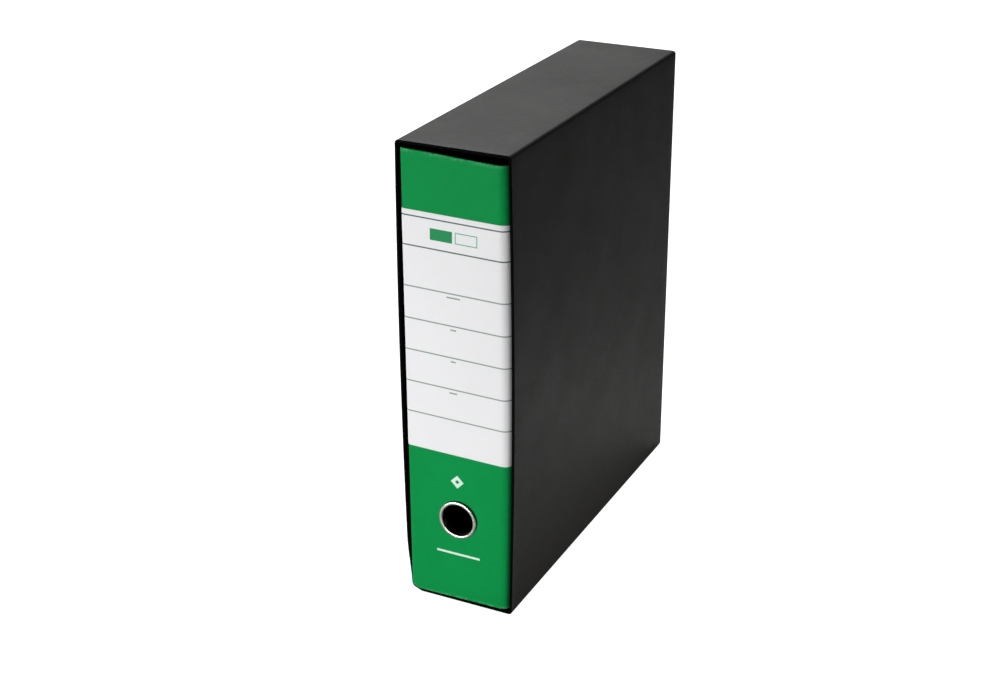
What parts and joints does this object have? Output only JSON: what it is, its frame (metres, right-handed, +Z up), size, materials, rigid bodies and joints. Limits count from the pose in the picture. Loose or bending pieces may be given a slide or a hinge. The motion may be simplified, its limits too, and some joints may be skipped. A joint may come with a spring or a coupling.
{
  "type": "lever arch file",
  "caption": "Tall card slipcase holding a spine-out lever arch file: finger ring and label on the spine, and a steel arch, lever and paper compressor on the rear cover.",
  "frame": {"origin": "centre of the underside of the object's box, on the surface the slipcase stands on", "axes": "+Z up along the spine, -Y out of the slipcase's mouth through the spine, +X towards the front cover, -X towards the rear cover that carries the mechanism"},
  "size_m": [0.0898, 0.3024, 0.35],
  "materials": {
    "case_paper": "black embossed paper over board, matt",
    "cover_paper": "green printed paper over board, satin",
    "label_paper": "white label paper, satin",
    "lining_paper": "dark grey lining paper, matt",
    "nickel": "nickel plated steel, bright",
    "zinc_plate": "zinc plated steel, satin",
    "spring_steel": "blued spring steel, satin"
  },
  "bodies": {
    "slipcase": {"case_left_wall": "case_paper", "case_right_wall": "case_paper", "case_back_wall": "case_paper", "case_top_panel": "case_paper", "case_bottom_panel": "case_paper"},
    "file": {"spine_board": "cover_paper", "rear_cover_board": "cover_paper", "front_cover_board": "cover_paper", "spine_label": "label_paper", "spine_lining_sheet": "lining_paper", "front_hinge_tape": "lining_paper", "rear_hinge_tape": "lining_paper", "front_lining_sheet": "lining_paper", "rear_lining_sheet": "lining_paper", "finger_ring_eyelet": "nickel", "finger_ring_washer": "nickel", "base_plate": "zinc_plate", "upper_post": "nickel", "lower_post": "nickel", "lever_pivot_pin": "zinc_plate", "arch_spring": "spring_steel", "spring_rivet": "zinc_plate", "fixing_rivet_1": "zinc_plate", "fixing_rivet_2": "zinc_plate", "fixing_rivet_3": "zinc_plate", "fixing_rivet_4": "zinc_plate"},
    "arches": {"arch_wire": "nickel"},
    "lever": {"lever_arm": "nickel", "roller_pin": "zinc_plate"},
    "roller": {"roller": "spring_steel"},
    "compressor": {"compressor_bar": "nickel"},
    "upper_lock": {"upper_compressor_lock": "spring_steel"},
    "lower_lock": {"lower_compressor_lock": "spring_steel"}
  },
  "joints": [
    {"name": "file_slide", "type": "slide", "parent": "slipcase", "child": "file", "axis": [0, -1, 0], "range_m": [0, 0.31]},
    {"name": "lever_lift", "type": "hinge", "parent": "file", "child": "lever", "pos_m": [-0.01941, -0.09077, 0.1738], "axis": [0, 0, 1], "range_deg": [0, 74]},
    {"name": "arch_open", "type": "hinge", "parent": "file", "child": "arches", "pos_m": [-0.0326, -0.11355, 0.1738], "axis": [0, 0, 1], "range_deg": [-34, 0]},
    {"name": "roller_spin", "type": "hinge", "parent": "lever", "child": "roller", "pos_m": [-0.0263, -0.09655, 0.1738], "axis": [0, 0, 1], "continuous": true},
    {"name": "compressor_slide", "type": "slide", "parent": "file", "child": "compressor", "axis": [1, 0, 0], "range_m": [0, 0.036]},
    {"name": "upper_lock_slide", "type": "slide", "parent": "compressor", "child": "upper_lock", "axis": [0, 0, -1], "range_m": [0, 0.003], "stiffness_N_per_m": 200, "springref_m": -0.001},
    {"name": "lower_lock_slide", "type": "slide", "parent": "compressor", "child": "lower_lock", "axis": [0, 0, 1], "range_m": [0, 0.003], "stiffness_N_per_m": 200, "springref_m": -0.001}
  ],
  "couplings": [
    {"joint": "arch_open", "follows": "lever_lift", "ratio": -0.45946}
  ]
}
